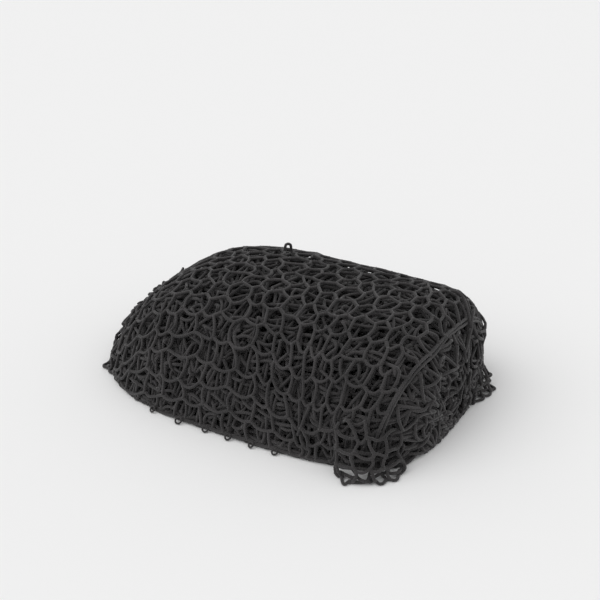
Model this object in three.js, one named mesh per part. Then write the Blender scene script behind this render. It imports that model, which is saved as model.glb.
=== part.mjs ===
// A tennis net off its posts, folded up for storage: a loaf-shaped bundle of knotted square mesh.
// The netting is doubled across its height, then folded to and fro along its length, so the bundle
// is a pile of double-ply fold panels. The last length is opened out to one ply and draped over the
// pile, down to the ground along both long sides. The border cord at the end of the netting runs up
// and over the pile, and a few slack cells spill onto the ground.
//
// Millimetres, +Z up. X is the long side of the bundle and Y is its short side. The origin is on
// the ground, in the middle of the box around everything.

import * as THREE from 'three';

// ---- driving dimensions ---------------------------------------------------------------------
const HALF_LENGTH = 300;       // bundle, along X
const HALF_WIDTH = 208;        // bundle, along Y
const HEIGHT = 194;            // top of the bundle
const STEEP_END_POWER = 14;    // roundness of the +X end: a high power is a steep, square end
const ROUND_END_POWER = 2.8;   // roundness of the -X end
const SIDE_POWER = 3;          // roundness of both long sides
const CROWN_POWER = 1.6;       // roundness of the top
const LEAN = 0.09;             // the top leans towards +Y by this share of its height
const TUCK_HEIGHT = 100;       // below this the foot of the +X end is tucked in
const TUCK_LENGTH = 8;         // how far it is tucked in along X
const TUCK_WIDTH = 0.30;       // and along Y, as a share of the width
const TUCK_POWER = 3;          // how sharply the tuck fades out along X

const FOLD_PANELS = 18;        // double-ply layers in the pile
const PANEL_SAG = 0.66;        // how far the rim of the top panel droops, as a share of its height
const LAYER_GAP = 0.4;         // clearance between neighbouring panels
const FOLD_NOSE = 6;           // how far a folded edge bulges past the panel's flat part
const RIM_STEPS = 36;          // outline segments of a panel

const COVER_THICKNESS = 6;     // one ply of slack netting
const PILE_CLEARANCE = 4;      // between the cover and the pile
const COVER_REACH = 0.92;      // the cover ends at this share of the half length
const COVER_STATIONS = 16;
const COVER_ARCH_STEPS = 18;

const BORDER_CORD_RADIUS = 3.2;
const BORDER_CORD_STEPS = 26;

const NETTING = { color: 0x2e2c2d, roughness: 0.85, metalness: 0 };
const CORD = { color: 0x343233, roughness: 0.8, metalness: 0 };

// ---- the bundle's outer shape ---------------------------------------------------------------
const bundle = new THREE.Group();

const endPower = (x) => (x > 0 ? STEEP_END_POWER : ROUND_END_POWER);

// how far out a place is: 0 at the bundle's middle and 1 on its outline on the ground
const spreadAt = (x, y, halfWidth) => (
  Math.abs(x / HALF_LENGTH) ** endPower(x) + Math.abs(y / halfWidth) ** SIDE_POWER
);

// height of the domed surface at a spread, as a share of the full height
const domeAt = (spread) => Math.max(0, 1 - spread) ** (1 / CROWN_POWER);

// leans a point of the upright shape, and tucks it in where it is at the foot of the +X end
function settled([x, y, z]) {
  const foot = Math.max(0, 1 - z / TUCK_HEIGHT);
  const tuck = foot * Math.max(0, x / HALF_LENGTH) ** TUCK_POWER;
  return [x - TUCK_LENGTH * tuck, y * (1 - TUCK_WIDTH * tuck) + LEAN * z, z];
}

// the number in 0 to 1 at which a rising function reaches a goal
function solve(rising, goal) {
  let low = 0;
  let high = 1;
  for (let i = 0; i < 40; i++) {
    const middle = (low + high) / 2;
    if (rising(middle) < goal) low = middle;
    else high = middle;
  }
  return low;
}

// the place with a given spread, in the direction of an angle around the middle
function placeAt(angle, spread, halfWidth) {
  const x = 1.5 * HALF_LENGTH * Math.cos(angle);
  const y = 1.5 * halfWidth * Math.sin(angle);
  const share = solve((s) => spreadAt(s * x, s * y, halfWidth), spread);
  return [share * x, share * y];
}

function addSolid(name, geometry, finish) {
  const mesh = new THREE.Mesh(geometry, new THREE.MeshStandardMaterial(finish));
  mesh.name = name;
  bundle.add(mesh);
  return mesh;
}

// A closed body from rings of points: each ring joins the next, and a fan closes each end. The lower
// half is split into triangles as a mirror of the upper half, so that stacked bodies fit together.
function ringsToSolid(rings, firstPoint, lastPoint) {
  const count = rings[0].length;
  const positions = [...rings.flat(), firstPoint, lastPoint].flat();
  const first = rings.length * count;
  const last = first + 1;
  const faces = [];
  for (let i = 0; i < count; i++) {
    const next = (i + 1) % count;
    faces.push(first, next, i);
    for (let r = 0; r + 1 < rings.length; r++) {
      const a = r * count;
      const b = a + count;
      const mirrored = 2 * r < rings.length - 1;
      if (mirrored) faces.push(a + i, a + next, b + i, a + next, b + next, b + i);
      else faces.push(a + i, a + next, b + next, a + i, b + next, b + i);
    }
    const top = (rings.length - 1) * count;
    faces.push(last, top + i, top + next);
  }
  const geometry = new THREE.BufferGeometry();
  geometry.setAttribute('position', new THREE.Float32BufferAttribute(positions, 3));
  geometry.setIndex(faces);
  return geometry;
}

// ---- the pile of fold panels ----------------------------------------------------------------
const pileInset = COVER_THICKNESS + PILE_CLEARANCE;
const pileHalfWidth = HALF_WIDTH - pileInset;
const pileHeight = HEIGHT - pileInset;

// share of the pile's height at a level of the pile (0 the ground, 1 the top), sagging to the rim
const levelShare = (level, spread) => level * (1 - PANEL_SAG * level * spread);

// how far out a level of the pile meets the bundle's outer shape
const spreadOfLevel = (level) => solve((s) => levelShare(level, s) - domeAt(s), 0);

function pilePoint(angle, level, spread, lift, stretch = 1) {
  const [x, y] = placeAt(angle, spread, pileHalfWidth);
  const z = pileHeight * levelShare(level, spread) + lift;
  return settled([x * stretch, y * stretch, z]);
}

function ringAt(makePoint) {
  return Array.from({ length: RIM_STEPS }, (_, i) => makePoint(2 * Math.PI * i / RIM_STEPS));
}

// Panel number n lies between two levels. Its rim is rounded, because the netting turns there.
function foldPanel(number) {
  const low = (number - 1) / FOLD_PANELS;
  const high = number / FOLD_PANELS;
  const rim = 1 - FOLD_NOSE / HALF_LENGTH;
  const lowSpread = spreadOfLevel(low);
  const highSpread = spreadOfLevel(high);
  const lowLift = number === 1 ? 0 : LAYER_GAP / 2;
  const highLift = -LAYER_GAP / 2;
  const nose = (angle) => {
    const a = pilePoint(angle, low, lowSpread, lowLift);
    const b = pilePoint(angle, high, highSpread, highLift);
    return a.map((v, axis) => (v + b[axis]) / 2);
  };
  const rings = [
    ringAt((angle) => pilePoint(angle, low, 0.25 * lowSpread, lowLift)),
    ringAt((angle) => pilePoint(angle, low, lowSpread, lowLift, rim)),
    ringAt(nose),
    ringAt((angle) => pilePoint(angle, high, highSpread, highLift, rim)),
    ringAt((angle) => pilePoint(angle, high, 0.25 * highSpread, highLift)),
  ];
  return ringsToSolid(rings, pilePoint(0, low, 0, lowLift), pilePoint(0, high, 0, highLift));
}

// ---- the draped cover -----------------------------------------------------------------------
// a point of the arch over the pile: turn runs from 0 (front, on the ground) to 1 (back)
function archPoint(x, turn, inset) {
  const halfWidth = HALF_WIDTH - inset;
  const reach = (1 - Math.abs(x / HALF_LENGTH) ** endPower(x)) ** (1 / SIDE_POWER);
  const across = -Math.cos(Math.PI * turn);
  const y = halfWidth * reach * Math.sign(across) * Math.abs(across) ** (2 / SIDE_POWER);
  const ends = turn === 0 || turn === 1;
  return settled([x, y, ends ? 0 : (HEIGHT - inset) * domeAt(spreadAt(x, y, halfWidth))]);
}

const coverStation = (i) => (
  COVER_REACH * HALF_LENGTH * Math.sin(Math.PI / 2 * (2 * i / COVER_STATIONS - 1))
);

// Every ring goes up the outside of the arch from front to back, and returns along its inside.
function drapedCover() {
  const rings = [];
  for (let i = 0; i <= COVER_STATIONS; i++) {
    const x = coverStation(i);
    const turns = Array.from({ length: COVER_ARCH_STEPS + 1 }, (_, k) => k / COVER_ARCH_STEPS);
    const outside = turns.map((turn) => archPoint(x, turn, 0));
    const inside = turns.map((turn) => archPoint(x, turn, COVER_THICKNESS)).reverse();
    rings.push([...outside, ...inside]);
  }
  const count = rings[0].length;
  const faces = [];
  for (let r = 0; r < COVER_STATIONS; r++) {
    for (let i = 0; i < count; i++) {
      const next = (i + 1) % count;
      const a = r * count;
      const b = a + count;
      faces.push(a + i, b + i, b + next);
      faces.push(a + i, b + next, a + next);
    }
  }
  for (let i = 0; i < COVER_ARCH_STEPS; i++) {
    const back = count - 1 - i;
    const last = COVER_STATIONS * count;
    faces.push(i, i + 1, back - 1);
    faces.push(i, back - 1, back);
    faces.push(last + i, last + back - 1, last + i + 1);
    faces.push(last + i, last + back, last + back - 1);
  }
  const geometry = new THREE.BufferGeometry();
  geometry.setAttribute('position', new THREE.Float32BufferAttribute(rings.flat(2), 3));
  geometry.setIndex(faces);
  return geometry;
}

// ---- the border cord at the end of the netting ----------------------------------------------
// It closes the netting's end: up from the ground at the front, over the pile, down at the back.
function borderCord() {
  const edge = COVER_REACH * HALF_LENGTH;
  const offset = BORDER_CORD_RADIUS + 1;
  const route = [];
  for (let i = 1; i < BORDER_CORD_STEPS; i++) {
    const [x, y, z] = archPoint(edge, i / BORDER_CORD_STEPS, 0);
    route.push(new THREE.Vector3(x + offset, y, Math.max(z, offset)));
  }
  const section = new THREE.Shape().absarc(0, 0, BORDER_CORD_RADIUS, 0, 2 * Math.PI);
  return new THREE.ExtrudeGeometry(section, {
    steps: 2 * BORDER_CORD_STEPS,
    curveSegments: 5,
    bevelEnabled: false,
    extrudePath: new THREE.CatmullRomCurve3(route),
  });
}

// ---- slack cells on the ground --------------------------------------------------------------
// A low mound of loose mesh: a half ellipsoid that is flat on the ground.
function slackMound(halfLength, halfWidth, height) {
  const steps = 16;
  const levels = [0, 0.35, 0.7];
  const rings = levels.map((level) => {
    const spread = Math.sqrt(1 - level ** 2);
    return Array.from({ length: steps }, (_, i) => {
      const angle = 2 * Math.PI * i / steps;
      const x = halfLength * spread * Math.cos(angle);
      return [x, halfWidth * spread * Math.sin(angle), height * level];
    });
  });
  return ringsToSolid(rings, [0, 0, 0], [0, 0, height]);
}

// name, middle on the ground, half length, half width, height and turn about Z in degrees
const slackCells = [
  { name: 'slack_cells_front_corner', x: 252, y: -198, size: [42, 15, 40], turn: 38 },
  { name: 'slack_cells_back_corner', x: 301, y: 125, size: [36, 10, 36], turn: -75 },
  { name: 'slack_cells_far_end', x: -288, y: -130, size: [24, 8, 30], turn: -58 },
];

// ---- the assembly ---------------------------------------------------------------------------
for (let n = 1; n <= FOLD_PANELS; n++) {
  addSolid(`fold_panel_${String(n).padStart(2, '0')}`, foldPanel(n), NETTING);
}
addSolid('draped_cover', drapedCover(), NETTING);
addSolid('end_border_cord', borderCord(), CORD);
for (const { name, x, y, size, turn } of slackCells) {
  const mound = addSolid(name, slackMound(...size), NETTING);
  mound.position.set(x, y, 0);
  mound.rotation.z = THREE.MathUtils.degToRad(turn);
}

const extent = new THREE.Box3().setFromObject(bundle, true);
const middle = extent.getCenter(new THREE.Vector3());
bundle.position.set(-middle.x, -middle.y, -extent.min.z);

export default bundle;
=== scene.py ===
"""A tennis net folded into a loaf-shaped bundle: every ply is real netting, made of swept twine.

The netting is laid out on the folds and on the draped cover that the CAD frame gives, and it is
then relaxed as twine: bars keep their length, bend smoothly, sag, and push each other apart.
"""
import math

import bpy
import numpy as np
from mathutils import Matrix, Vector


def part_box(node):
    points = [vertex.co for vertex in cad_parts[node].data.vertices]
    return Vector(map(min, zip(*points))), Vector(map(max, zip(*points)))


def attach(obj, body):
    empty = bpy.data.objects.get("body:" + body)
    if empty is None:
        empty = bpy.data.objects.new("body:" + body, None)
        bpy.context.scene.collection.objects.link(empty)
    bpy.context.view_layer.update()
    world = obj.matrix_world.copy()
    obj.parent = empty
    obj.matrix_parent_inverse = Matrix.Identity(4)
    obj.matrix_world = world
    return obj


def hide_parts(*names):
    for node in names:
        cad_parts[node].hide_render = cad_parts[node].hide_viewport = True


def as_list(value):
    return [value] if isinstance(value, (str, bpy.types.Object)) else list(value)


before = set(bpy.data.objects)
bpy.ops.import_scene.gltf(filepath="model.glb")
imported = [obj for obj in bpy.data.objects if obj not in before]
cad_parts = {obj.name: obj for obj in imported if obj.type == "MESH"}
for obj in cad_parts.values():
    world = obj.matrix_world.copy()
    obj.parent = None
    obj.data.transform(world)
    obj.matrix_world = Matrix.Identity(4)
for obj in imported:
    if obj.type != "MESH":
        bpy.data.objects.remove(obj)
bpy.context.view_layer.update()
random = np.random.default_rng(12)

# ---- sizes, in metres -----------------------------------------------------------------------
MESH = 0.041                    # one mesh of the netting, from junction to junction
TWINE = 0.0024                  # radius of the twine
BORDER = 0.0024                 # radius of each of the border cord's two strands
ROWS = 24                       # meshes across the height of the net
PANELS = 18                     # double-ply fold panels in the pile
PANEL_MESHES = (16, 17)         # meshes along a panel, in turn
COVER_MESHES = 18               # meshes along the draped cover
PILE_JOINT = 0.010              # length of a junction, where two twines run together
RAISED_BAR = (12, 7)            # row and column of a bar that stands up from the ridge
RAISED_LOOP = 0.013             # how far it stands up
FRONT_RINGS = 11                # small rings along the front hem, from its -X end
RING = 0.0050                   # middle radius of the small rings along the hem
BOW = 0.13                      # the most that a connector of the cover bows, in meshes

# ---- the bundle's shape, as in the CAD frame ------------------------------------------------
STEEP_END_POWER = 14            # powers of the rounded outline: a larger one is squarer
ROUND_END_POWER = 2.8
SIDE_POWER = 3
CROWN_POWER = 1.6               # of the dome: a larger one has steeper sides
LEAN = 0.09                     # how far the top leans back, for each metre of height
TUCK_HEIGHT = 0.100             # below this height the foot of the +X end is tucked in
TUCK_LENGTH = 0.008             # how far its tip draws back
TUCK_WIDTH = 0.30               # share by which its width draws in
TUCK_POWER = 3                  # how closely the tuck keeps to the end
PANEL_SAG = 0.66                # how far the pile's top droops at its rim, as a share
COVER_REACH = 0.92              # share of the bundle's length that the cover spans
PILE_INSET = 0.007              # how far the pile stays inside the bundle's surface
LOWEST_IN = 0.010               # how far the lowest panel lies inside the bundle's outline
LEAST_SLOPE = 2.5               # of the surface's equation, where it is nearly flat

cover_low, cover_high = (np.array(corner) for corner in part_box("draped_cover"))
HEIGHT = cover_high[2]
HALF_LENGTH = (cover_high[0] - cover_low[0]) / 2 / COVER_REACH
HALF_WIDTH = np.diff([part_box("fold_panel_01")[0].y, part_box("fold_panel_01")[1].y])[0] / 2
HALF_WIDTH += LOWEST_IN
MIDDLE = np.array([(cover_low[0] + cover_high[0]) / 2, cover_low[1] + HALF_WIDTH, 0])


def end_power(x):
    return np.where(x > 0, STEEP_END_POWER, ROUND_END_POWER)


def spread_at(x, y, half_width=HALF_WIDTH):
    """0 at the bundle's middle and 1 on its outline on the ground."""
    return np.abs(x / HALF_LENGTH) ** end_power(x) + np.abs(y / half_width) ** SIDE_POWER


def dome(spread):
    """Height of the domed surface at a spread, as a share of the full height."""
    return np.clip(1 - spread, 0, 1) ** (1 / CROWN_POWER)


def outside_by(p):
    """How far points lie outside the bundle's surface, and the way straight out of it."""
    x, y, z = p.T
    power = end_power(x)
    rise = np.maximum(z, 0) / HEIGHT
    excess = spread_at(x, y) + rise**CROWN_POWER - 1
    slope = np.stack([
        power * np.sign(x) * np.abs(x / HALF_LENGTH) ** (power - 1) / HALF_LENGTH,
        SIDE_POWER * np.sign(y) * np.abs(y / HALF_WIDTH) ** (SIDE_POWER - 1) / HALF_WIDTH,
        CROWN_POWER * rise ** (CROWN_POWER - 1) / HEIGHT,
    ], -1)
    steepness = np.maximum(np.linalg.norm(slope, axis=1), LEAST_SLOPE)
    return excess / steepness, slope / steepness[:, None]


def tuck_at(x, z):
    """How far the foot of the bundle's +X end is tucked in, from 0 to 1."""
    return np.maximum(1 - z / TUCK_HEIGHT, 0) * np.maximum(x / HALF_LENGTH, 0) ** TUCK_POWER


def settle(p):
    """Leans the bundle, tucks in the foot of its +X end, and moves it to its place in the frame."""
    x, y, z = p.T
    tuck = tuck_at(x, z)
    settled = np.stack([x - TUCK_LENGTH * tuck, y * (1 - TUCK_WIDTH * tuck) + LEAN * z, z], -1)
    return settled + MIDDLE


def level_share(level, spread):
    return level * (1 - PANEL_SAG * level * spread)


def spread_of_level(level):
    """How far out a level of the pile meets the bundle's surface."""
    spread = np.linspace(0, 1, 600)
    return spread[level_share(level, spread) <= dome(spread)].max()


# ---- smooth random fields -------------------------------------------------------------------
class Wobble:
    """A smooth random field over u and v, mostly between -1 and 1, that repeats nowhere."""

    PITCHES = (0.6, 1.5)        # of its waves, as shares of the pitch asked for
    SPREAD = 0.6                # the field's standard deviation

    def __init__(self, wavelength, waves=7):
        angle = random.uniform(0, 2 * np.pi, waves)
        pitch = 2 * np.pi / wavelength * random.uniform(*self.PITCHES, waves)
        self.ways = np.stack([np.cos(angle), np.sin(angle)]) * pitch
        self.phase = random.uniform(0, 2 * np.pi, waves)

    def __call__(self, u, v):
        turns = u[..., None] * self.ways[0] + v[..., None] * self.ways[1] + self.phase
        return np.sin(turns).sum(-1) / math.sqrt(len(self.phase) * 0.5) * self.SPREAD


# ---- one patch of netting -------------------------------------------------------------------
class Patch:
    """Netting of columns by rows of meshes. lay(u, v) places a point; u and v count meshes.

    A row of the netting is one long twine. Each junction in it has two ends, a and b, a joint's
    length apart: a connector to the next row leaves one end, and a connector from the row before
    meets the other, and the two ends swap from row to row. So a long joint gives six-sided cells,
    and a short one gives square cells. joint and link are lengths for a row number, and zigzag is
    how far the two ends of a junction are above and below the row. sag is how far a row hangs down
    between its junctions. slack is the least and the most length of a segment, as shares of its
    length as laid. A patch with a sag keeps the curves it is laid with, and its connectors bow.
    """

    ROW_STEPS = 4               # points of a row for each mesh: a, b and two between junctions
    LINK_STEPS = 4              # segments of a connector

    def __init__(self, name, size, lay, joint, link, zigzag, slack, sag=None):
        self.name = name
        self.columns, self.rows = size
        self.joint = joint
        self.link = link
        self.zigzag = zigzag
        self.slack = slack
        self.sag = sag or even(0)
        self.keeps_curve = sag is not None
        self.row_points = self._place_rows(lay)
        self.link_points = self._place_links(lay)

    def _half_joint(self, v):
        return self.joint(v) / MESH / 2

    def _lift(self, j):
        """How far up the side the b end of a junction is; the a end is as far down."""
        return self.zigzag(j) * (1 if j % 2 else -1)

    def _place_rows(self, lay):
        slots = []
        for i in range(self.columns + 1):
            slots += [(i, -1, 0), (i, 1, 0)]
            if i < self.columns:
                slots += [(i, 1, 1 / 3), (i, 1, 2 / 3)]
        i, side, share = np.array(slots).T
        rows = []
        for j in range(self.rows + 1):
            half = self._half_joint(j)
            along = i + side * half + share * (1 - 2 * half)
            lift = self._lift(j) * np.where(share == 0, side, 1 - 2 * share)
            rows.append(lay(along, j + lift - self.sag(j) * (share > 0)))
        return np.array(rows)

    def _place_links(self, lay):
        share = np.arange(1, self.LINK_STEPS) / self.LINK_STEPS
        links = []
        for j in range(self.rows):
            side = 1 if j % 2 else -1
            low = self._half_joint(j) * side
            high = self._half_joint(j + 1) * side
            i = np.arange(self.columns + 1)[:, None]
            along = i + low + (high - low) * share
            if self.keeps_curve:
                bow = random.uniform(-BOW, BOW, (self.columns + 1, 1))
                along = along + bow * np.sin(np.pi * share)
            along[0] = -self._half_joint(j)
            along[-1] = self.columns + self._half_joint(j)
            start, end = self.zigzag(j), 1 - self.zigzag(j + 1)
            across = j + start + (end - start) * share + 0 * along
            links.append(lay(along, across))
        return np.array(links)

    def number(self, first):
        """Gives every point its index in the whole net, from first, and returns the next index."""
        rows = self.row_points.shape[:2]
        links = self.link_points.shape[:3]
        self.first = first
        self.row_ids = first + np.arange(rows[0] * rows[1]).reshape(rows)
        first += rows[0] * rows[1]
        inner = first + np.arange(links[0] * links[1] * links[2]).reshape(links)
        start = np.empty(links[:2], int)
        end = np.empty(links[:2], int)
        for j in range(self.rows):
            column = np.arange(self.columns + 1) * self.ROW_STEPS + (1 if j % 2 else 0)
            column[0], column[-1] = 0, self.row_ids.shape[1] - 1
            start[j] = self.row_ids[j, column]
            end[j] = self.row_ids[j + 1, column]
        self.link_ids = np.concatenate([start[..., None], inner, end[..., None]], -1)
        self.end = first + links[0] * links[1] * links[2]
        return self.end

    def all_points(self):
        return np.concatenate([self.row_points.reshape(-1, 3), self.link_points.reshape(-1, 3)])

    def segments(self):
        """Both ends and the rest length of each segment, which is near the length as laid out."""
        row_pairs = np.stack([self.row_ids[:, :-1], self.row_ids[:, 1:]], -1)
        link_pairs = np.stack([self.link_ids[..., :-1], self.link_ids[..., 1:]], -1)
        row_rests = np.empty(row_pairs.shape[:2])
        for j in range(self.rows + 1):
            joint = self.joint(j)
            row_rests[j] = (MESH - joint) / 3
            row_rests[j, :: self.ROW_STEPS] = joint
        links = np.array([self.link(j + 0.5) for j in range(self.rows)]) / self.LINK_STEPS
        link_rests = np.broadcast_to(links[:, None, None], link_pairs.shape[:3])
        pairs = np.concatenate([row_pairs.reshape(-1, 2), link_pairs.reshape(-1, 2)])
        rests = np.concatenate([row_rests.ravel(), link_rests.ravel()])
        ends = self.all_points()[pairs - self.first]
        laid = np.linalg.norm(ends[:, 1] - ends[:, 0], axis=1)
        return pairs, np.clip(rests, self.slack[0] * laid, self.slack[1] * laid)

    def triples(self):
        """Each point of a twine with the points before and after it."""
        chains = (self.row_ids, self.link_ids)
        threes = [np.stack([c[..., :-2], c[..., 1:-1], c[..., 2:]], -1) for c in chains]
        return np.concatenate([three.reshape(-1, 3) for three in threes])


# ---- the pile -------------------------------------------------------------------------------
HANGING_EVERY = 3               # every third panel hangs down over the ones below it
HANGING_DROP = (0.070, 0.105)
TUCKED_DROP = 0.012             # how far the sides of the other panels turn down
TUCKED_INSET = (0.018, 0.030)   # how far those sides stay inside the bundle's surface
LOWEST_INSET = 0.026            # the least for the lowest panel, and how much less for the next
INSET_STEP = 0.005
ENDS_OUT = ((-0.020, -0.012), (0.002, 0.002))   # least and most, of the round and steep ends
LOW_END_OUT = 0.012             # the lowest panels stand out this much more at the steep end
LOW_PANELS = 3
SLIP = 0.010                    # the most that a panel lies off its place
FOLD_MESHES = 0.8               # meshes on each side of the middle row where the plies part
TURN_SHARE = 0.06               # share of a panel's length that bends towards the next panel
WAVE = 0.2                      # how far the columns and rows wander, in meshes
DRIFT = 0.3                     # how far they wander in broader waves
END_WAVE = 0.014                # how unevenly a panel's ends lie
SIDE_WAVE = 0.006               # how unevenly its sides hang
HANGING_WAVE = 0.004            # how far a hanging side waves in and out
LIFT = 0.004                    # how far a panel waves up and down, and more at its ends
END_LIFT = 0.005
TOP_INSET = 0.008               # how much further in a hanging side starts than it ends
PLY_INSET = 0.0025              # half of the gap between a hanging side's two plies
LONGEST_SHARE = 0.9             # the most of its spread that a level's length may use
NARROWEST = 0.35                # the least width of a level, as a share

levels = np.linspace(0, 1, 60)
level_spreads = np.array([spread_of_level(level) for level in levels])


def lay_panel(number, columns):
    """The place of panel number (from 0) of the pile, doubled at its middle row.

    Some panels are laid wide, and hang down over the ones below them on both long sides.
    """
    way = 1 if number % 2 == 0 else -1
    hangs = (PANELS - 1 - number) % HANGING_EVERY == 0
    drop = random.uniform(*HANGING_DROP) if hangs else TUCKED_DROP
    set_back = PILE_INSET if hangs else random.uniform(*TUCKED_INSET)
    set_back = max(set_back, LOWEST_INSET - INSET_STEP * number)
    ends_out = random.uniform(*ENDS_OUT) + [0, LOW_END_OUT * (number < LOW_PANELS)]
    slip = random.uniform(-SLIP, SLIP, 2)
    across_wave, along_wave, lift_wave = Wobble(2.4), Wobble(2.4), Wobble(2.2)
    drift, twist = Wobble(8.0), Wobble(3.0)

    def lay(u, v):
        u, v = np.broadcast_arrays(np.asarray(u, float), np.asarray(v, float))
        t = np.clip(u / columns, 0, 1)
        side = 2 * np.abs(v / (ROWS / 2) - 1) - 1
        ply = np.clip((v - ROWS / 2) / FOLD_MESHES, -1, 1) * way
        turn = np.clip(1 - t / TURN_SHARE, 0, 1) ** 2
        turn = turn - np.clip(1 - (1 - t) / TURN_SHARE, 0, 1) ** 2
        level = (number + 0.5 + 0.25 * ply - 0.5 * turn) / PANELS
        level = np.clip(level, 0.01, 1)
        spread = np.interp(level, levels, level_spreads)
        share = way * (2 * t - 1)
        round_end = HALF_LENGTH * spread ** (1 / ROUND_END_POWER) + ends_out[0]
        steep_end = HALF_LENGTH * spread ** (1 / STEEP_END_POWER) + ends_out[1]
        inner = 1 - share**8
        x = share * (np.where(share > 0, steep_end, round_end) - PILE_INSET)
        shift = MESH * (WAVE * along_wave(u, v) + DRIFT * ply * twist(u, v))
        x = x + (slip[0] + shift) * inner + END_WAVE * along_wave(u, v) * (1 - inner)
        used = np.minimum(np.abs(x / HALF_LENGTH) ** end_power(x), LONGEST_SHARE * spread)
        rim = HALF_WIDTH * (spread - used) ** (1 / SIDE_POWER) - set_back
        rim = np.maximum(rim, NARROWEST * HALF_WIDTH * spread)
        path = np.abs(side) * (rim + drop) + SIDE_WAVE * lift_wave(u, v) * (np.abs(side) > 0.6)
        y = np.sign(side) * np.minimum(path, rim)
        flat = 1 - side**6
        y = y + (slip[1] + MESH * (WAVE * across_wave(u, v) + DRIFT * drift(u, v))) * flat
        z = (HEIGHT - PILE_INSET) * level_share(level, np.minimum(spread_at(x, y), spread))
        down = np.maximum(path - rim, 0)
        z_hanging = np.maximum(z - down, 2 * TWINE)
        room = np.clip(1 - used - (z_hanging / HEIGHT) ** CROWN_POWER, 0.02, 1)
        inside = set_back + TOP_INSET * (1 - down / drop) + PLY_INSET * (1 - ply)
        y_hanging = np.sign(side) * (HALF_WIDTH * room ** (1 / SIDE_POWER) - inside)
        y_hanging = y_hanging + HANGING_WAVE * across_wave(u, v)
        hanging = down > 0
        z = np.where(hanging, z_hanging, z + (LIFT + END_LIFT * share**8) * lift_wave(u, v))
        return np.stack([x, np.where(hanging, y_hanging, y), np.maximum(z, TWINE)], -1)

    return lay


# ---- the draped cover -----------------------------------------------------------------------
HEM_HEIGHT = 0.010              # of the cover's two hems above the ground
FRONT_ROWS = 6                  # rows of the cover up its front face
TOP_ROWS = 8                    # rows over the top
FRONT_PITCH = 0.034
TOP_PITCH = 0.034               # at the front of the top
RIDGE_PITCH = 0.026             # at the back of the top
ARCHES = 60                     # arches that the cover's surface is worked out on
ARCH_STEPS = 300                # even steps along each arch
ROUND_END_FIT = 0.3             # share of the ends' shortness that is taken up by closer rows
STEEP_END_FIT = 0.6
DRAPE = 0.42                    # the most that the cover reaches from the ridge, along itself
CROWDING = 0.9                  # how much closer the arches stand towards the ends
FRONT_FADE = 9                  # the row where the front's own shape ends
COLUMN_WAVES = (0.15, 0.11, 0.25)   # how far columns wander: middle, fine and broad
ROW_WAVES = (0.12, 0.10, 0.15)      # the same for rows
BUNCH_LEAN = 1.7                # how far the front's columns lean over, in meshes
BUNCH_COLUMNS = (2, 11, 14)     # where the lean starts, is greatest, and is nearly over
BUNCH_MIDDLE = 12.5             # the column where the front's rows dip most
BUNCH_DIP = 0.8                 # how far they dip, in meshes
EDGE_BACK = 0.16                # share by which the +X edge draws back at the front hem


def arch(x):
    """Places along the arch over the pile at x, at even distances along it from the ridge.

    Past a hem's height it turns in under the bundle, where netting that is left over is tucked.
    """
    turn = np.linspace(0, 1, 400)
    across = -np.cos(np.pi * turn)
    width = HALF_WIDTH * (1 - np.abs(x / HALF_LENGTH) ** end_power(x)) ** (1 / SIDE_POWER)
    y = width * np.sign(across) * np.abs(across) ** (2 / SIDE_POWER)
    z = HEIGHT * dome(spread_at(x, y))
    z[[0, -1]] = 0
    run = np.concatenate([[0], np.cumsum(np.hypot(np.diff(y), np.diff(z)))])
    length = run[-1]
    distance = np.linspace(-DRAPE, DRAPE, ARCH_STEPS + 1)
    left_over = np.maximum(np.abs(distance) - (length / 2 - HEM_HEIGHT), 0)
    place = np.clip(distance + length / 2, HEM_HEIGHT, length - HEM_HEIGHT)
    y_even = np.interp(place, run, y) - np.sign(distance) * left_over
    z_even = np.interp(place, run, z) - np.minimum(left_over, HEM_HEIGHT - TWINE)
    return y_even, z_even, length


def arch_length(x):
    return arch(x)[2]


def row_distances():
    """How far each row of the cover lies from the ridge along the middle arch."""
    half = arch_length(0.0) / 2 - HEM_HEIGHT
    pitches = [FRONT_PITCH] * FRONT_ROWS + list(np.linspace(TOP_PITCH, RIDGE_PITCH, TOP_ROWS))
    back_rows = ROWS - FRONT_ROWS - TOP_ROWS
    pitches += [(2 * half - sum(pitches)) / back_rows] * back_rows
    return np.concatenate([[0], np.cumsum(pitches)]) - half


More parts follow.
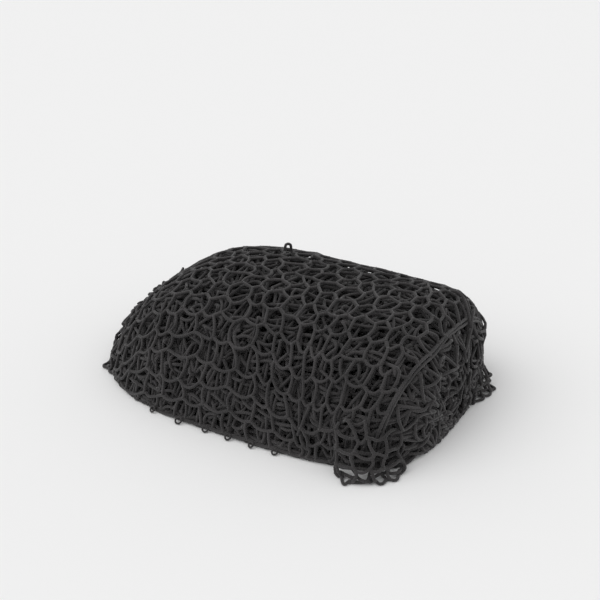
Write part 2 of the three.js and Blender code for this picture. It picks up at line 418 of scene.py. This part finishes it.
def lay_cover():
    """The place of the cover: u runs from the -X end to the +X end, v from the front hem up."""
    rows_at = row_distances()
    stations = np.linspace(-1, 1, ARCHES + 1)
    arch_x = COVER_REACH * HALF_LENGTH * np.sin(CROWDING * stations) / math.sin(CROWDING)
    arches = [arch(x) for x in arch_x]
    surface = np.stack([
        np.repeat(arch_x[:, None], ARCH_STEPS + 1, 1),
        np.array([a[0] for a in arches]),
        np.array([a[1] for a in arches]),
    ], -1)
    along_wave, across_wave = Wobble(3.4), Wobble(3.2)
    along_fine, across_fine = Wobble(1.7), Wobble(1.7)
    drift = Wobble(9.0)
    shortness = np.array([a[2] for a in arches]) / arch_length(0.0)
    fit = np.where(stations < 0, ROUND_END_FIT, STEEP_END_FIT)
    squeeze = 1 - fit * (1 - shortness)

    def on_surface(station, distance):
        i = np.clip((station + 1) / 2 * ARCHES, 0, ARCHES - 1e-6)
        k = (distance * np.interp(station, stations, squeeze) / DRAPE + 1) / 2 * ARCH_STEPS
        k = np.clip(k, 0, ARCH_STEPS - 1e-6)
        i0, k0 = i.astype(int), k.astype(int)
        ri, rk = (i - i0)[..., None], (k - k0)[..., None]
        low = surface[i0, k0] * (1 - rk) + surface[i0, k0 + 1] * rk
        high = surface[i0 + 1, k0] * (1 - rk) + surface[i0 + 1, k0 + 1] * rk
        return low * (1 - ri) + high * ri

    def lay(u, v):
        u, v = np.broadcast_arrays(np.asarray(u, float), np.asarray(v, float))
        front = np.clip(1 - v / FRONT_FADE, 0, 1)
        inner = np.clip(np.minimum(u, COVER_MESHES - u) / 2, 0, 1)
        middle, fine, broad = COLUMN_WAVES
        wander = along_wave(u, v) * middle + along_fine(u, v) * fine + drift(u, v) * broad
        lean = BUNCH_LEAN * front * np.interp(u, [*BUNCH_COLUMNS, COVER_MESHES], [0, 1, 0.1, 0])
        station = 2 * (u + lean + wander * inner) / COVER_MESHES - 1
        station = station * (1 - EDGE_BACK * front**1.2 * np.clip(u / COVER_MESHES, 0, 1) ** 3)
        middle, fine, broad = ROW_WAVES
        rise = across_wave(u, v) * middle + across_fine(u, v) * fine + drift(v, u) * broad
        rise = rise - BUNCH_DIP * front * np.exp(-(((u - BUNCH_MIDDLE) / 2) ** 2))
        hem = np.clip(np.minimum(v, ROWS - v) / 2, 0, 1)
        distance = np.interp(v + rise * hem, np.arange(ROWS + 1), rows_at)
        return on_surface(np.clip(station, -1, 1), distance)

    return lay


# ---- slack cells on the ground --------------------------------------------------------------
SLACK_ROOT = 0.040              # how far behind the mound's middle the cells come out
SLACK_CORNERS = 0.020           # how far the two corners of their bulge stay back
SLACK_RETURN = 0.022            # how far they turn back under themselves
SLACK_LOOP = 0.008              # how far the bars at the turn bow out
SLACK_WAVE = 0.004
FLOOR_ROOM = 1.25 * TWINE       # the least height of the twine's middle line


def lay_slack(node, size, width, height, facing, reach):
    """Meshes that hang down the bundle's side at a CAD mound and bulge out over the ground.

    They turn back under themselves at the ground, halfway along their rows. They are laid in the
    bundle's upright shape, so that settle() puts them at the mound.
    """
    low, high = (np.array(corner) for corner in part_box(node))
    middle = (low + high) / 2 - MIDDLE
    facing = math.radians(facing)
    out_way = np.array([math.cos(facing), math.sin(facing)])
    along_way = np.array([-out_way[1], out_way[0]])
    wave, sway = Wobble(1.8), Wobble(1.8)

    def lay(u, v):
        u, v = np.broadcast_arrays(np.asarray(u, float), np.asarray(v, float))
        side = 2 * u / size[0] - 1
        down = np.clip(2 * v / size[1], 0, 1)
        back = np.clip(2 * v / size[1] - 1, 0, 1)
        loops = SLACK_LOOP * np.abs(np.sin(np.pi * u)) * np.exp(-((3 * (down - 1 - back)) ** 2))
        bulge = (SLACK_ROOT + reach) * np.sin(down * math.pi / 2) ** 0.6
        out = -SLACK_ROOT + bulge - SLACK_CORNERS * side**2
        out = out - SLACK_RETURN * back + loops + SLACK_WAVE * wave(u, v) * down
        z = height * (1 - down**1.2) * (1 + 0.1 * wave(v, u)) + 0.5 * height * back + FLOOR_ROOM
        along = side * width / 2 * (1 - 0.15 * (1 - down)) + SLACK_WAVE * sway(u, v)
        x = middle[0] + along * along_way[0] + out * out_way[0]
        y = middle[1] + along * along_way[1] + out * out_way[1]
        tuck = tuck_at(x, z)
        return np.stack([x + TUCK_LENGTH * tuck, (y - LEAN * z) / (1 - TUCK_WIDTH * tuck), z], -1)

    return lay


# ---- the whole net --------------------------------------------------------------------------
GRID = 256                      # cells each way, for sorting segments
ROUNDS = 70                     # of relaxing
MEMORY = 0.02                   # share of the way back to where it was laid, each round
GRAVITY = 0.00015               # how far a point falls, each round
LENGTH_STEPS = 3                # steps towards the rest lengths, each round
LENGTH_PULL = 1.2               # share of the way that a step goes
BEND = 0.26                     # how strongly a point is drawn between its neighbours
BEND_BACK = 0.10                # and how strongly each neighbour is drawn the other way
CURVE_KEPT = 0.8                # share of its laid curve that a patch with a sag keeps
NEAR = 0.016                    # segments this close are tested for touching
NEAR_EVERY = 8                  # rounds from one search for them to the next
PILE_ROOM = 0.7                 # share of PILE_INSET that the pile must keep
COVER_DEPTH = 0.010             # how far the cover may sink below the bundle's surface
END_SHARE = 0.8                 # share of the half length, past which folds may stand out
ROUND_END_PLAY = 0.013          # how far they may stand out there
STEEP_END_PLAY = 0.010
LARGEST_STEP = 0.01             # the most that a point is put back, each round
NO_LIMIT = 1.0


def by_row(front, top):
    """A length that is front on the cover's front face, and top over the top of the bundle."""
    return lambda v: float(np.interp(v, [3, 7.5], [front, top]))


def even(value):
    """A length that is the same for every row."""
    return lambda v: value


def build_patches():
    patches = []
    for number in range(PANELS):
        size = (PANEL_MESHES[number % 2], ROWS)
        lay = lay_panel(number, size[0])
        name = f"fold_panel_{number + 1:02d}"
        patches.append(Patch(name, size, lay, even(PILE_JOINT), even(MESH), even(0.08), (1.08, 1.22)))
    cover = (COVER_MESHES, ROWS)
    joint, link, zigzag = by_row(0.009, 0.016), by_row(0.034, 0.026), by_row(0.08, 0.15)
    sag = by_row(0.14, 0.02)
    patches.append(Patch("draped_cover", cover, lay_cover(), joint, link, zigzag, (0.97, 1.03), sag))
    # Columns and rows, width, height, the way it faces, and its reach past the mound's middle.
    for node, size, *shape in (
        ("slack_cells_front_corner", (4, 8), 0.092, 0.080, -55, 0.007),
        ("slack_cells_back_corner", (4, 6), 0.085, 0.070, 12, 0.004),
        ("slack_cells_far_end", (3, 4), 0.060, 0.055, 212, -0.013),
    ):
        lay = lay_slack(node, size, *shape)
        joint, link, zigzag = even(0.008), even(0.030), even(0.08)
        patches.append(Patch(node, size, lay, joint, link, zigzag, (0.98, 1.05), even(0)))
    first = 0
    for patch in patches:
        first = patch.number(first)
    return patches


def twine_segments(patches):
    """Both ends and the rest length of every segment, and the triples that keep a twine smooth."""
    found = [patch.segments() for patch in patches]
    pairs = [pair for pair, rest in found]
    rests = [rest for pair, rest in found]
    pile = patches[:PANELS]
    for before, after in zip(pile[:-1], pile[1:]):
        pairs.append(np.stack([before.row_ids[:, -1], after.row_ids[:, 0]], -1))
        rests.append(np.full(ROWS + 1, PILE_JOINT))
    triples = np.concatenate([patch.triples() for patch in patches])
    return np.concatenate(pairs), np.concatenate(rests), triples


def near_pairs(p, pairs, reach):
    """Pairs of segments whose middles are within reach, found with a grid of cells."""
    middle = (p[pairs[:, 0]] + p[pairs[:, 1]]) / 2
    cell = np.floor(middle / reach).astype(np.int64) + GRID // 4
    key = (cell[:, 0] * GRID + cell[:, 1]) * GRID + cell[:, 2]
    order = np.argsort(key, kind="stable")
    sorted_key = key[order]
    found = []
    steps = [(0, 0, 0), (0, 0, 1), (0, 1, -1), (0, 1, 0), (0, 1, 1)]
    steps += [(1, b, c) for b in (-1, 0, 1) for c in (-1, 0, 1)]
    for a, b, c in steps:
        other = sorted_key + (a * GRID + b) * GRID + c
        low = np.searchsorted(sorted_key, other, "left")
        high = np.searchsorted(sorted_key, other, "right")
        if (a, b, c) == (0, 0, 0):
            low = np.arange(len(order)) + 1
            high = np.maximum(high, low)
        count = high - low
        one = np.repeat(np.arange(len(order)), count)
        offset = np.arange(count.sum()) - np.repeat(np.cumsum(count) - count, count)
        two = np.repeat(low, count) + offset
        one, two = order[one], order[two]
        gap = middle[one] - middle[two]
        close = (gap * gap).sum(1) < reach * reach
        one, two = one[close], two[close]
        a_, b_ = pairs[one], pairs[two]
        joined = (a_[:, :1] == b_).any(1) | (a_[:, 1:] == b_).any(1)
        found.append(np.stack([one[~joined], two[~joined]], -1))
    return np.concatenate(found)


def push_apart(p, pairs, near, gap):
    """Moves near segments apart, half of the way each, until their middle lines are gap apart."""
    i, j = pairs[near[:, 0]], pairs[near[:, 1]]
    a, b, c, d = p[i[:, 0]], p[i[:, 1]], p[j[:, 0]], p[j[:, 1]]
    u, v, w = b - a, d - c, a - c
    uu, uv, vv = (u * u).sum(1), (u * v).sum(1), (v * v).sum(1)
    uw, vw = (u * w).sum(1), (v * w).sum(1)
    det = np.maximum(uu * vv - uv * uv, 1e-14)
    s = np.clip((uv * vw - vv * uw) / det, 0, 1)
    t = np.clip((uv * s + vw) / np.maximum(vv, 1e-12), 0, 1)
    s = np.clip((uv * t - uw) / np.maximum(uu, 1e-12), 0, 1)
    between = w + u * s[:, None] - v * t[:, None]
    distance = np.sqrt((between * between).sum(1))
    hit = distance < gap
    i, j, s, t = i[hit], j[hit], s[hit], t[hit]
    push = between[hit] / np.maximum(distance[hit], 1e-6)[:, None]
    push *= ((gap - distance[hit]) * 0.5)[:, None]
    index = np.concatenate([i[:, 0], i[:, 1], j[:, 0], j[:, 1]])
    weight = np.concatenate([1 - s, s, t - 1, -t])
    move = np.concatenate([push, push, push, push]) * weight[:, None]
    share = np.abs(weight)
    total = np.bincount(index, share, len(p))
    for axis in range(3):
        moved = np.bincount(index, move[:, axis], len(p))
        p[:, axis] += moved / np.maximum(total, 1)


def relax(p, patches, rounds):
    """Lets the twine find its shape. p is changed in place."""
    pairs, rests, triples = twine_segments(patches)
    count = len(p)
    uses = np.bincount(pairs.ravel(), minlength=count).astype(float)
    limits = surface_limits(patches, count)
    laid = p.copy()
    keeps_curve = np.zeros(count)
    for patch in patches:
        keeps_curve[patch.first : patch.end] = patch.keeps_curve
    curve = (laid[triples[:, 0]] + laid[triples[:, 2]]) / 2 - laid[triples[:, 1]]
    curve *= CURVE_KEPT * keeps_curve[triples[:, 1], None]
    for step in range(rounds):
        p += (laid - p) * MEMORY
        p[:, 2] -= GRAVITY
        for _ in range(LENGTH_STEPS):
            a, b = p[pairs[:, 0]], p[pairs[:, 1]]
            line = b - a
            length = np.sqrt((line * line).sum(1))
            move = line * ((length - rests) / np.maximum(length, 1e-9) * 0.5)[:, None]
            for axis in range(3):
                pull = np.bincount(pairs[:, 0], move[:, axis], count)
                pull -= np.bincount(pairs[:, 1], move[:, axis], count)
                p[:, axis] += LENGTH_PULL * pull / uses
        middle = (p[triples[:, 0]] + p[triples[:, 2]]) / 2 - p[triples[:, 1]] - curve
        for axis in range(3):
            push = np.bincount(triples[:, 1], middle[:, axis] * BEND, count)
            push -= np.bincount(triples[:, 0], middle[:, axis] * BEND_BACK, count)
            push -= np.bincount(triples[:, 2], middle[:, axis] * BEND_BACK, count)
            p[:, axis] += push
        if step % NEAR_EVERY == 0:
            near = near_pairs(p, pairs, NEAR)
        push_apart(p, pairs, near, 2 * TWINE)
        keep_in_shape(p, limits)
        np.maximum(p[:, 2], FLOOR_ROOM, out=p[:, 2])


def surface_limits(patches, count):
    """The least and the most that each point may lie outside the bundle's surface."""
    least = np.full(count, -NO_LIMIT)
    most = np.full(count, -PILE_INSET * PILE_ROOM)
    cover = patches[PANELS]
    least[cover.first : cover.end] = -COVER_DEPTH
    most[cover.first : cover.end] = -TWINE
    most[cover.end :] = NO_LIMIT
    return least, most


def keep_in_shape(p, limits):
    """Holds the pile inside the cover, and the cover on the bundle's surface."""
    least, most = limits
    distance, way_out = outside_by(p)
    is_pile = most < -TWINE * 1.1
    play = np.where(p[:, 0] < -END_SHARE * HALF_LENGTH, ROUND_END_PLAY, 0)
    play = np.where(p[:, 0] > END_SHARE * HALF_LENGTH, STEEP_END_PLAY, play)
    allowed = most + play * is_pile
    back = np.maximum(distance - allowed, 0) - 0.5 * np.maximum(least - distance, 0)
    length = np.maximum(np.linalg.norm(way_out, axis=1), 0.3)
    p -= way_out / length[:, None] * np.clip(back, -LARGEST_STEP, LARGEST_STEP)[:, None]


# ---- swept twine ----------------------------------------------------------------------------
PILE_TWINE = (6, 2)             # sides of the twine, and smoothing steps to a segment
SHOWN_TWINE = (8, 3)
CORD_TWINE = (10, 4)


def smooth_lines(lines, steps):
    """Catmull-Rom curves through lines (many, points, 3), with steps new points to a segment."""
    before = 2 * lines[:, :1] - lines[:, 1:2]
    after = 2 * lines[:, -1:] - lines[:, -2:-1]
    padded = np.concatenate([before, lines, after], 1)
    a, b, c, d = padded[:, :-3], padded[:, 1:-2], padded[:, 2:-1], padded[:, 3:]
    out = []
    for k in range(steps):
        t = k / steps
        point = 2 * b + (c - a) * t
        point = point + (2 * a - 5 * b + 4 * c - d) * t**2 + (3 * b - a - 3 * c + d) * t**3
        out.append(point / 2)
    curve = np.stack(out, 2).reshape(len(lines), -1, 3)
    return np.concatenate([curve, lines[:, -1:]], 1)


class Sweep:
    """Collects swept tubes and makes one mesh of them, with the layers its shader reads."""

    def __init__(self, sides):
        self.sides = sides
        self.points = []
        self.quads = []
        self.caps = []
        self.around_along = []
        self.count = 0

    def add(self, lines, radius):
        """lines is (many, points, 3), and radius is (points,) or (many, points)."""
        many, points, _ = lines.shape
        radius = np.broadcast_to(radius, (many, points))
        tangent = np.gradient(lines, axis=1)
        tangent /= np.maximum(np.linalg.norm(tangent, axis=2, keepdims=True), 1e-9)
        side = np.empty_like(lines)
        helper = np.where(np.abs(tangent[:, :1, 2:]) < 0.8, [[[0, 0, 1.0]]], [[[1.0, 0, 0]]])
        side[:, :1] = np.cross(tangent[:, :1], helper)
        for k in range(points):
            before = side[:, k - 1] if k else side[:, 0]
            flat = before - tangent[:, k] * (before * tangent[:, k]).sum(1, keepdims=True)
            side[:, k] = flat / np.maximum(np.linalg.norm(flat, axis=1, keepdims=True), 1e-9)
        up = np.cross(tangent, side)
        turn = np.arange(self.sides) / self.sides * 2 * np.pi
        ring = side[:, :, None] * np.cos(turn)[:, None] + up[:, :, None] * np.sin(turn)[:, None]
        vertices = lines[:, :, None] + ring * radius[:, :, None, None]
        step = np.linalg.norm(np.diff(lines, axis=1), axis=2)
        run = np.concatenate([np.zeros((many, 1)), np.cumsum(step, 1)], 1)
        ids = self.count + np.arange(many * points * self.sides).reshape(many, points, self.sides)
        nxt = np.roll(ids, -1, 2)
        quads = np.stack([ids[:, :-1], nxt[:, :-1], nxt[:, 1:], ids[:, 1:]], -1)
        share = np.arange(self.sides) / self.sides
        low = np.broadcast_to(run[:, :-1, None], quads.shape[:3])
        high = np.broadcast_to(run[:, 1:, None], quads.shape[:3])
        left = np.broadcast_to(share, quads.shape[:3])
        right = left + 1 / self.sides
        uv = np.stack([left, low, right, low, right, high, left, high], -1)
        self.points.append(vertices.reshape(-1, 3))
        self.quads.append(quads.reshape(-1, 4))
        self.around_along.append(uv.reshape(-1, 4, 2))
        self.caps.append(ids[:, 0, ::-1])
        self.caps.append(ids[:, -1])
        self.count += many * points * self.sides

    def mesh(self, name):
        quads = np.concatenate(self.quads)
        caps = np.concatenate(self.caps)
        points = np.concatenate(self.points)
        mesh = bpy.data.meshes.new(name)
        loops = np.concatenate([quads.ravel(), caps.ravel()])
        sizes = np.concatenate([np.full(len(quads), 4), np.full(len(caps), self.sides)])
        mesh.vertices.add(len(points))
        mesh.vertices.foreach_set("co", points.astype(np.float32).ravel())
        mesh.loops.add(len(loops))
        mesh.loops.foreach_set("vertex_index", loops.astype(np.int32))
        mesh.polygons.add(len(sizes))
        mesh.polygons.foreach_set("loop_start", (np.cumsum(sizes) - sizes).astype(np.int32))
        mesh.update(calc_edges=True)
        mesh.polygons.foreach_set("use_smooth", np.ones(len(sizes), bool))
        self._add_layers(mesh, len(quads), len(caps))
        mesh.validate()
        return mesh

    def _add_layers(self, mesh, quad_count, cap_count):
        """A layer with the way round and along the twine, and one where no two faces overlap."""
        cap_loops = cap_count * self.sides
        twine = np.concatenate(self.around_along).reshape(-1, 2)
        twine = np.concatenate([twine, np.zeros((cap_loops, 2))])
        layer = mesh.uv_layers.new(name="Twine")
        layer.data.foreach_set("uv", twine.astype(np.float32).ravel())
        cells = quad_count + cap_count
        size = math.ceil(math.sqrt(cells / self.sides)) * self.sides
        number = np.arange(cells)
        ring, side = number // self.sides, number % self.sides
        column = ring // size * self.sides + side
        row = ring % size
        corner = np.array([[0.1, 0.1], [0.9, 0.1], [0.9, 0.9], [0.1, 0.9]])
        place = np.stack([column, row], -1)[:, None] + corner
        turn = np.arange(self.sides) / self.sides * 2 * np.pi
        disc = 0.5 + 0.4 * np.stack([np.cos(turn), np.sin(turn)], -1)
        cap_place = np.stack([column, row], -1)[quad_count:, None] + disc
        bake = np.concatenate([place[:quad_count].reshape(-1, 2), cap_place.reshape(-1, 2)])
        layer = mesh.uv_layers.new(name="OFBake")
        layer.data.foreach_set("uv", (bake / (size + self.sides)).astype(np.float32).ravel())


# ---- materials ------------------------------------------------------------------------------
NETTING_DYE_AND_GROOVE_SHADE = ((0.012, 0.011, 0.0115), (0.036, 0.033, 0.034))   # its darkest and its lightest: uneven dye, and painted shade in the braid's grooves
BORDER_DYE_AND_GROOVE_SHADE = ((0.014, 0.013, 0.0135), (0.040, 0.037, 0.038))


def braided_twine(name, dark, light, picks_along, strands_around):
    """Matte braided twine: a diagonal two-way braid, uneven dye, painted groove shade, slightly fuzzy
    edges.

    picks_along is for each metre of twine, and strands_around for once round it.
    """
    material = bpy.data.materials.new(name)
    material.use_nodes = True
    nodes, links = material.node_tree.nodes, material.node_tree.links
    shader = nodes["Principled BSDF"]
    for socket, value in (
        ("Roughness", 0.72),
        ("Specular IOR Level", 0.32),
        ("Sheen Weight", 0.18),
        ("Sheen Roughness", 0.5),
    ):
        shader.inputs[socket].default_value = value

    way = nodes.new("ShaderNodeUVMap")
    way.uv_map = "Twine"
    parts = nodes.new("ShaderNodeSeparateXYZ")
    links.new(way.outputs["UV"], parts.inputs[0])

    def math_node(kind, first, second):
        node = nodes.new("ShaderNodeMath")
        node.operation = kind
        for socket, value in zip(node.inputs, (first, second)):
            if isinstance(value, (int, float)):
                socket.default_value = value
            elif value is not None:
                links.new(value, socket)
        return node.outputs[0]

    around = math_node("MULTIPLY", parts.outputs["X"], 2 * math.pi * strands_around)
    along_twine = math_node("MULTIPLY", parts.outputs["Y"], 2 * math.pi * picks_along)
    one_way = math_node("SINE", math_node("ADD", around, along_twine), None)
    other_way = math_node("SINE", math_node("SUBTRACT", around, along_twine), None)
    braid = math_node("MAXIMUM", one_way, other_way)

    place = nodes.new("ShaderNodeTexCoord")

    def noise(scale, detail):
        node = nodes.new("ShaderNodeTexNoise")
        node.inputs["Scale"].default_value = scale
        node.inputs["Detail"].default_value = detail
        links.new(place.outputs["Object"], node.inputs["Vector"])
        return node.outputs["Fac"]

    grain = noise(900, 3)
    uneven_dye = noise(28, 4)
    height = math_node("MULTIPLY", math_node("ADD", braid, grain), 0.5)
    bump = nodes.new("ShaderNodeBump")
    bump.inputs["Strength"].default_value = 0.55
    bump.inputs["Distance"].default_value = 0.0006
    links.new(height, bump.inputs["Height"])
    links.new(bump.outputs["Normal"], shader.inputs["Normal"])

    # Lighter on the braid's raised strands and darker in its grooves: painted groove shade, added to
    # the uneven dye
    dye_and_groove_shade = math_node("ADD", math_node("MULTIPLY", braid, 0.16), uneven_dye)
    ramp = nodes.new("ShaderNodeValToRGB")
    ramp.color_ramp.elements[0].position = 0.3
    ramp.color_ramp.elements[0].color = (*dark, 1)
    ramp.color_ramp.elements[1].position = 0.8
    ramp.color_ramp.elements[1].color = (*light, 1)
    links.new(dye_and_groove_shade, ramp.inputs["Fac"])
    links.new(ramp.outputs["Color"], shader.inputs["Base Color"])
    return material


# ---- pieces ---------------------------------------------------------------------------------
LINK_SWELL = 0.3                # how much thicker a connector is at its ends, as a share
JUNCTION_SWELL = 0.16           # and a row at its junctions
RING_POINTS = 17
RING_LEAN = (0.7, 1.1)          # how far rings hang down from level, in radians
RING_SWING = 0.5                # the most that they are turned to one side
RING_SIZES = (0.8, 1.2)
RING_TWINE = 0.62               # radius of their twine, as a share of the netting's
CORD_SMOOTHING = 4              # rounds of smoothing of the border cord's line
STRAND_GAP = 1.15               # how far each strand is from it, in radii
STRAND_WAVE = 0.25
STRAND_WAVES = 9                # half waves of the gap along the cord
LOOP_FEET = (0.24, 0.18)        # where the raised loop turns up, as shares of the bar's gap


def add_piece(name, mesh, material, stands_for):
    piece = bpy.data.objects.new(name, mesh)
    bpy.context.scene.collection.objects.link(piece)
    mesh.materials.append(material)
    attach(piece, "root")
    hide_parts(stands_for)
    return piece


def link_radius(count):
    """A connector is thicker where it joins the rows."""
    t = np.linspace(-1, 1, count)
    return TWINE * (1 + LINK_SWELL * np.abs(t) ** 8)


def row_radius(count, steps):
    """A row is thicker at its junctions."""
    phase = (np.arange(count) % (Patch.ROW_STEPS * steps)) / steps
    return TWINE * (1 + JUNCTION_SWELL * np.clip(1.2 - np.abs(phase - 0.5) * 1.4, 0, 1))


def sweep_patch(patch, points, sides, steps):
    sweep = Sweep(sides)
    rows = smooth_lines(points[patch.row_ids], steps)
    sweep.add(rows, row_radius(rows.shape[1], steps))
    ids = patch.link_ids[:, :-1] if patch.name == "draped_cover" else patch.link_ids
    links = smooth_lines(points[ids.reshape(-1, Patch.LINK_STEPS + 1)], steps)
    sweep.add(links, link_radius(links.shape[1]))
    return sweep


def add_hem_rings(sweep, hem, out):
    """Small rings along a hem, hanging from its junctions down to the ground."""
    turn = np.linspace(0, 2 * np.pi, RING_POINTS)
    for point in hem:
        lean = random.uniform(*RING_LEAN)
        swing = random.uniform(-RING_SWING, RING_SWING)
        size = RING * random.uniform(*RING_SIZES)
        along = np.array([math.cos(swing), math.sin(swing), 0])
        down = np.array([-out * math.sin(swing), out * math.cos(swing), 0]) * math.cos(lean)
        down = down - np.array([0, 0, math.sin(lean)])
        middle = point + down * size + np.array([0, out * TWINE, 0])
        middle[2] = max(middle[2], size * math.sin(lean) + TWINE)
        ring = middle + size * (np.cos(turn)[:, None] * along + np.sin(turn)[:, None] * down)
        sweep.add(ring[None], np.full(len(turn), TWINE * RING_TWINE))


def border_line(cover, points):
    """Both strands of the border cord, which joins the ends of the cover's rows.

    The ends of the rows are first smoothed into one line, in place.
    """
    ids = [cover.link_ids[0, -1, 0]]
    for j in range(cover.rows):
        ids += list(cover.link_ids[j, -1, 1:])
    for _ in range(CORD_SMOOTHING):
        line = points[ids]
        points[ids[1:-1]] = (line[:-2] + 2 * line[1:-1] + line[2:]) / 4
    points[ids, 2] = np.maximum(points[ids, 2], 1.2 * BORDER)
    line = smooth_lines(points[ids][None], CORD_TWINE[1])
    out = line - [MIDDLE[0], MIDDLE[1], 0.03]
    aside = np.cross(np.gradient(line, axis=1), out)
    aside *= BORDER / np.linalg.norm(aside, axis=2, keepdims=True)
    waves = np.sin(np.linspace(0, STRAND_WAVES * np.pi, line.shape[1]))[:, None]
    part = STRAND_GAP + STRAND_WAVE * waves
    strands = np.concatenate([line - part * aside, line + part * aside])
    strands[..., 2] = np.maximum(strands[..., 2], BORDER)
    return strands


def raise_loop(cover, points):
    """One bar of the cover was caught as the net was folded, and stands up from the ridge."""
    row, column = RAISED_BAR
    bar = cover.row_ids[row, column * Patch.ROW_STEPS + 1 : column * Patch.ROW_STEPS + 5]
    across = points[bar[3]] - points[bar[0]]
    points[bar[1]] = points[bar[0]] + LOOP_FEET[0] * across
    points[bar[2]] = points[bar[3]] - LOOP_FEET[1] * across
    points[bar[1:3], 2] += RAISED_LOOP


def make_net():
    patches = build_patches()
    points = np.concatenate([patch.all_points() for patch in patches])
    relax(points, patches, ROUNDS)
    points = settle(points)
    raise_loop(patches[PANELS], points)
    netting = braided_twine("netting_twine", *NETTING_DYE_AND_GROOVE_SHADE, picks_along=260, strands_around=2)
    cord = braided_twine("border_cord_braid", *BORDER_DYE_AND_GROOVE_SHADE, picks_along=210, strands_around=3)
    line = border_line(patches[PANELS], points)
    below = []
    for patch in patches:
        is_pile = patch.name.startswith("fold_panel")
        sweep = sweep_patch(patch, points, *(PILE_TWINE if is_pile else SHOWN_TWINE))
        if patch.name == "draped_cover":
            junctions = slice(1, None, Patch.ROW_STEPS)
            add_hem_rings(sweep, points[patch.row_ids[0, junctions]][:FRONT_RINGS], -1)
            add_hem_rings(sweep, points[patch.row_ids[-1, junctions]], 1)
        mesh = sweep.mesh(patch.name)
        piece = add_piece(patch.name + "_netting", mesh, netting, patch.name)
        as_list(below[-1:])
        if is_pile or not below:
            below.append(piece)
    border = Sweep(CORD_TWINE[0])
    border.add(line, np.full(line.shape[1], BORDER))
    mesh = border.mesh("end_border_cord")
    add_piece("end_border_cord_braid", mesh, cord, "end_border_cord")


# ---- floor, light and camera ----------------------------------------------------------------
AZIMUTH = 30.2                  # of the camera, in degrees from -Y towards +X
ELEVATION = 27.1
DISTANCE = 1.985
LENS = 73.1                     # millimetres, on a sensor 36 millimetres wide
AIM_HEIGHT = 0.1                # the height it looks at, over the bundle's middle
AIM_ASIDE = (0.0179, 0.0391, 0)     # how far right of it and above it, in the picture


def make_floor():
    mesh = bpy.data.meshes.new("floor")
    size = 30
    corners = [(-size, -size, 0), (size, -size, 0), (size, size, 0), (-size, size, 0)]
    mesh.from_pydata(corners, [], [(0, 1, 2, 3)])
    floor = bpy.data.objects.new("floor", mesh)
    bpy.context.scene.collection.objects.link(floor)
    paper = bpy.data.materials.new("pale_floor")
    paper.use_nodes = True
    shader = paper.node_tree.nodes["Principled BSDF"]
    shader.inputs["Base Color"].default_value = (0.86, 0.86, 0.86, 1)
    shader.inputs["Roughness"].default_value = 0.9
    mesh.materials.append(paper)


def make_light():
    world = bpy.data.worlds.new("studio")
    world.use_nodes = True
    background = world.node_tree.nodes["Background"]
    background.inputs["Color"].default_value = (1, 1, 1, 1)
    background.inputs["Strength"].default_value = 0.72
    bpy.context.scene.world = world
    # Name, the way it shines from, the angle it spreads over in degrees, and its strength.
    for name, place, spread, strength in (
        ("key", (-1.2, -1.6, 2.4), 60, 1.06),
        ("fill", (1.6, 1.4, 2.2), 80, 0.18),
    ):
        lamp = bpy.data.lights.new(name, "SUN")
        lamp.energy = strength
        lamp.angle = math.radians(spread)
        lamp_object = bpy.data.objects.new(name, lamp)
        lamp_object.rotation_euler = Vector(place).to_track_quat("Z", "Y").to_euler()
        bpy.context.scene.collection.objects.link(lamp_object)


def make_camera():
    azimuth, elevation = math.radians(AZIMUTH), math.radians(ELEVATION)
    back = Vector((
        math.sin(azimuth) * math.cos(elevation),
        -math.cos(azimuth) * math.cos(elevation),
        math.sin(elevation),
    ))
    turn = back.to_track_quat("Z", "Y")
    target = Vector((MIDDLE[0], MIDDLE[1], AIM_HEIGHT)) + turn @ Vector(AIM_ASIDE)
    data = bpy.data.cameras.new("camera")
    data.lens = LENS
    data.sensor_width = 36
    camera = bpy.data.objects.new("camera", data)
    camera.location = target + back * DISTANCE
    camera.rotation_euler = turn.to_euler()
    bpy.context.scene.collection.objects.link(camera)
    bpy.context.scene.camera = camera


make_net()
make_floor()
make_light()
make_camera()
bpy.context.scene.view_settings.view_transform = "Standard"
